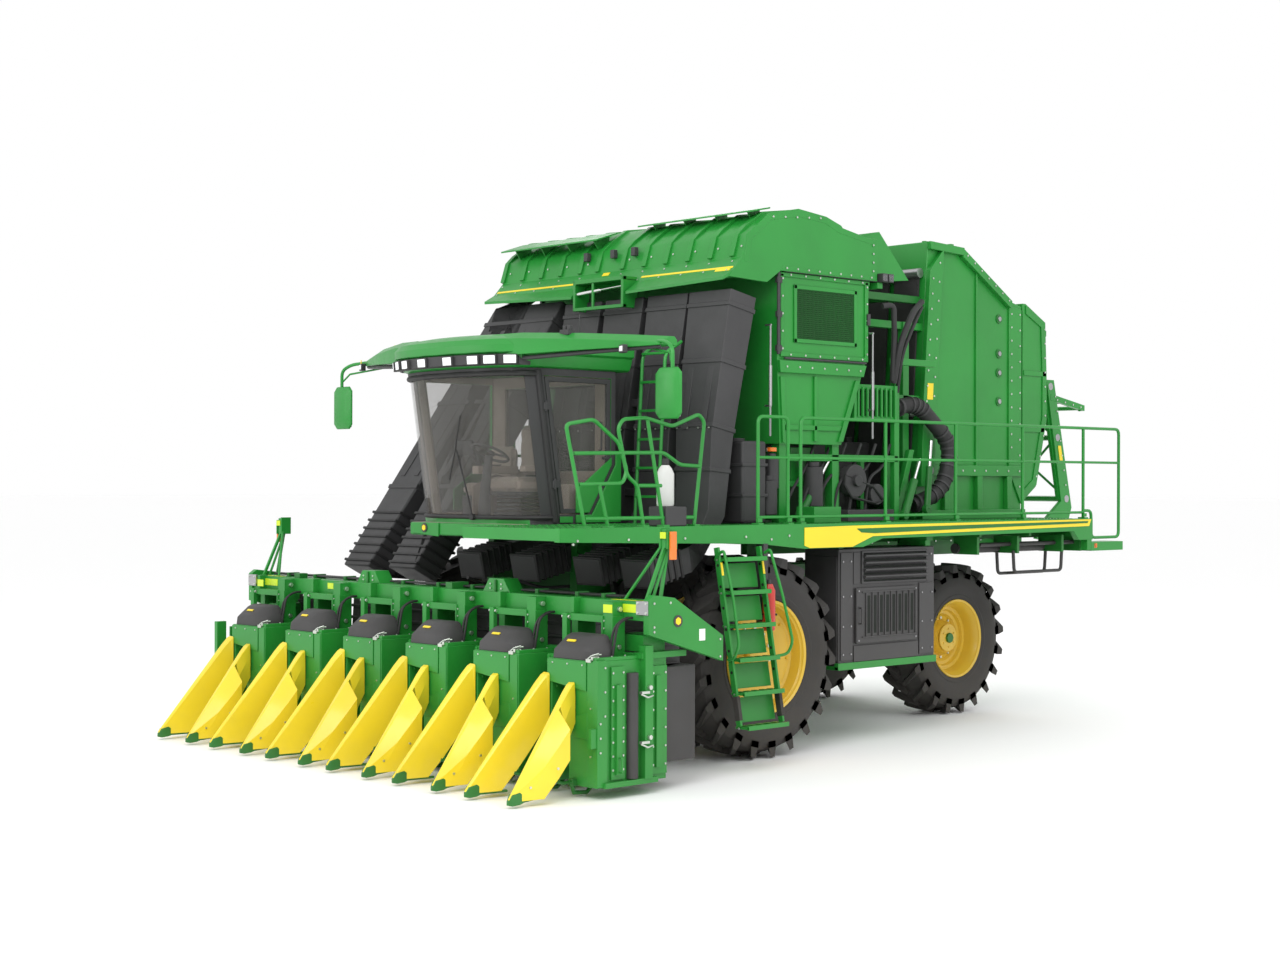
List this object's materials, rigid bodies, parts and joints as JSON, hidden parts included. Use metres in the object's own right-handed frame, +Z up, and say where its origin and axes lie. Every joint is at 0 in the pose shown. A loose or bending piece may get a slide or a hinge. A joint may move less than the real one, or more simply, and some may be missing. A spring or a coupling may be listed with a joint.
{
  "type": "cotton picker machine",
  "caption": "Self-propelled cotton picker: multi-row picking header, glazed cab, air ducts, accumulator and round module builder on twin front wheels and steered rear wheels.",
  "frame": {"origin": "middle of the machine's footprint, on the ground under its wheels", "axes": "+Y runs from the row dividers to the rear, +X is the machine's left side, +Z is up"},
  "size_m": [6.28, 10.58, 5.39],
  "materials": {
    "green_paint": "satin green paint",
    "yellow_dividers": "glossy yellow moulding",
    "rim_yellow": "golden yellow paint",
    "charcoal_plastic": "matte charcoal",
    "charcoal_paint": "satin charcoal paint",
    "tyre_rubber": "matte black",
    "cab_glass": "tinted",
    "bare_steel": "satin",
    "cast_engine": "dark",
    "seat_fabric": "beige woven"
  },
  "bodies": {
    "chassis": {"chassis_frame": "green_paint", "front_axle": "green_paint", "rear_axle": "green_paint", "engine_block": "cast_engine", "cab_shell": "green_paint", "cab_roof": "green_paint", "windshield": "cab_glass", "cab_right_window": "cab_glass", "cab_rear_window": "cab_glass", "operator_seat": "seat_fabric", "steering_console": "charcoal_plastic", "left_deck": "green_paint", "right_deck": "green_paint", "front_railing": "green_paint", "left_railing": "green_paint", "roof_ladder": "green_paint", "right_ducts": "charcoal_plastic", "left_ducts": "charcoal_plastic", "accumulator_hood": "green_paint", "accumulator_body": "green_paint", "water_tank": "charcoal_plastic", "module_chamber": "green_paint", "side_cabinet": "charcoal_paint", "fuel_tank": "charcoal_paint"},
    "header": {"header_frame": "green_paint", "header_ducts": "charcoal_plastic", "row_unit_1": "green_paint", "row_unit_2": "green_paint", "row_unit_3": "green_paint", "row_unit_4": "green_paint", "row_unit_5": "green_paint", "row_unit_6": "green_paint", "dividers_1": "yellow_dividers", "dividers_2": "yellow_dividers", "dividers_3": "yellow_dividers", "dividers_4": "yellow_dividers", "dividers_5": "yellow_dividers", "dividers_6": "yellow_dividers"},
    "front_left_wheels": {"front_left_rims": "rim_yellow", "front_left_inner_tyre": "tyre_rubber", "front_left_outer_tyre": "tyre_rubber"},
    "front_right_wheels": {"front_right_rims": "rim_yellow", "front_right_inner_tyre": "tyre_rubber", "front_right_outer_tyre": "tyre_rubber"},
    "rear_left_knuckle": {"rear_left_knuckle": "green_paint"},
    "rear_right_knuckle": {"rear_right_knuckle": "green_paint"},
    "rear_left_wheel": {"rear_left_rim": "rim_yellow", "rear_left_tyre": "tyre_rubber"},
    "rear_right_wheel": {"rear_right_rim": "rim_yellow", "rear_right_tyre": "tyre_rubber"},
    "tie_rod": {"tie_rod": "bare_steel"},
    "cab_door": {"cab_door": "charcoal_paint", "cab_door_glass": "cab_glass"},
    "ladder": {"ladder": "green_paint"},
    "service_door": {"service_door": "charcoal_paint"},
    "tailgate": {"tailgate": "green_paint"},
    "module_handler": {"module_handler": "green_paint"}
  },
  "joints": [
    {"name": "front_left_wheel_spin", "type": "hinge", "parent": "chassis", "child": "front_left_wheels", "pos_m": [1.524, -1.64, 0.97], "axis": [1, 0, 0], "continuous": true},
    {"name": "front_right_wheel_spin", "type": "hinge", "parent": "chassis", "child": "front_right_wheels", "pos_m": [-1.524, -1.64, 0.97], "axis": [1, 0, 0], "continuous": true},
    {"name": "rear_steer", "type": "hinge", "parent": "chassis", "child": "rear_left_knuckle", "pos_m": [0.62, 2.61, 0.86], "axis": [0, 0, 1], "range_deg": [-40, 40]},
    {"name": "rear_right_steer", "type": "hinge", "parent": "chassis", "child": "rear_right_knuckle", "pos_m": [-0.62, 2.61, 0.86], "axis": [0, 0, 1], "range_deg": [-40, 40]},
    {"name": "tie_rod_pin", "type": "hinge", "parent": "rear_left_knuckle", "child": "tie_rod", "pos_m": [0.62, 2.93, 0.674], "axis": [0, 0, 1], "range_deg": [-40, 40]},
    {"name": "rear_left_wheel_spin", "type": "hinge", "parent": "rear_left_knuckle", "child": "rear_left_wheel", "pos_m": [1.016, 2.61, 0.86], "axis": [1, 0, 0], "continuous": true},
    {"name": "rear_right_wheel_spin", "type": "hinge", "parent": "rear_right_knuckle", "child": "rear_right_wheel", "pos_m": [-1.016, 2.61, 0.86], "axis": [1, 0, 0], "continuous": true},
    {"name": "header_lift", "type": "hinge", "parent": "chassis", "child": "header", "pos_m": [0, -2.09, 1.25], "axis": [-1, 0, 0], "range_deg": [0, 9]},
    {"name": "cab_door_swing", "type": "hinge", "parent": "chassis", "child": "cab_door", "pos_m": [0.956, -3.17, 2.24], "axis": [0, 0.1536, -0.9881], "range_deg": [0, 75]},
    {"name": "ladder_swing", "type": "hinge", "parent": "chassis", "child": "ladder", "pos_m": [2.45, -2.215, 1.98], "axis": [1, 0, 0], "range_deg": [0, 80]},
    {"name": "service_door_swing", "type": "hinge", "parent": "chassis", "child": "service_door", "pos_m": [2.215, -0.3, 1.3], "axis": [0, 0, -1], "range_deg": [0, 105]},
    {"name": "module_handler_fold", "type": "hinge", "parent": "chassis", "child": "module_handler", "pos_m": [0, 4.34, 2.02], "axis": [-1, 0, 0], "range_deg": [0, 70]},
    {"name": "tailgate_lift", "type": "hinge", "parent": "chassis", "child": "tailgate", "pos_m": [0, 3.48, 4.84], "axis": [1, 0, 0], "range_deg": [0, 70]}
  ],
  "couplings": [
    {"joint": "rear_right_steer", "follows": "rear_steer", "ratio": 1},
    {"joint": "tie_rod_pin", "follows": "rear_steer", "ratio": -1},
    {"joint": "tailgate_lift", "follows": "module_handler_fold", "ratio": 1}
  ]
}
